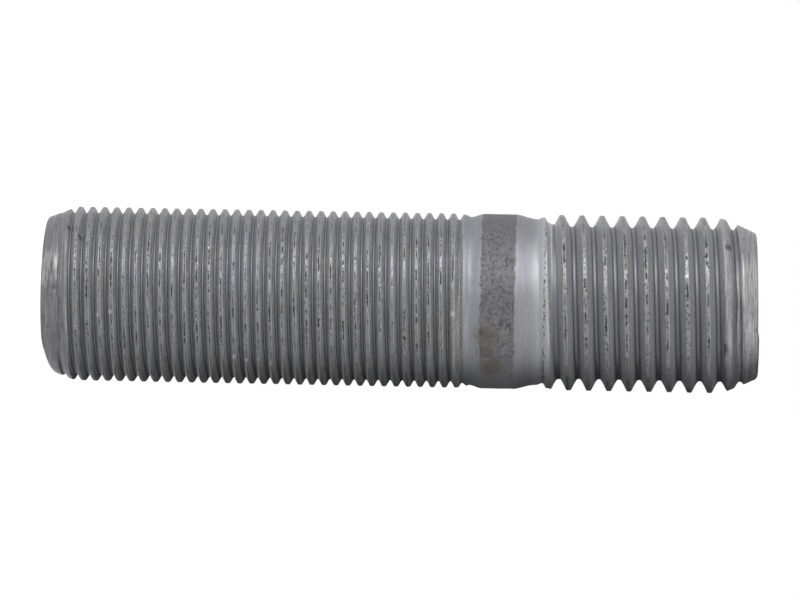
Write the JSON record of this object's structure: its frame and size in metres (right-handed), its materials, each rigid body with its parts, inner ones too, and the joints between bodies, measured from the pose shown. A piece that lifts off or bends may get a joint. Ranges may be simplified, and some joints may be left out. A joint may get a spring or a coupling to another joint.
{
  "type": "stud bolt",
  "caption": "Double-ended stud bolt with a long fine-threaded end, a short plain collar and a coarse-threaded end, chamfered at both tips.",
  "frame": {"origin": "centre of the fine-thread end face, which the stud stands on", "axes": "+Z runs along the stud's axis from the fine-thread end up to the coarse-thread end, and the coarse thread's root heights are measured along +X"},
  "size_m": [0.0218, 0.0218, 0.0885],
  "materials": {
    "zinc_coated_steel": "matte zinc-phosphate grey over rolled steel, darker in the thread roots and worn brighter at the ends"
  },
  "bodies": {
    "root": {"stud": "zinc_coated_steel"}
  },
  "joints": []
}
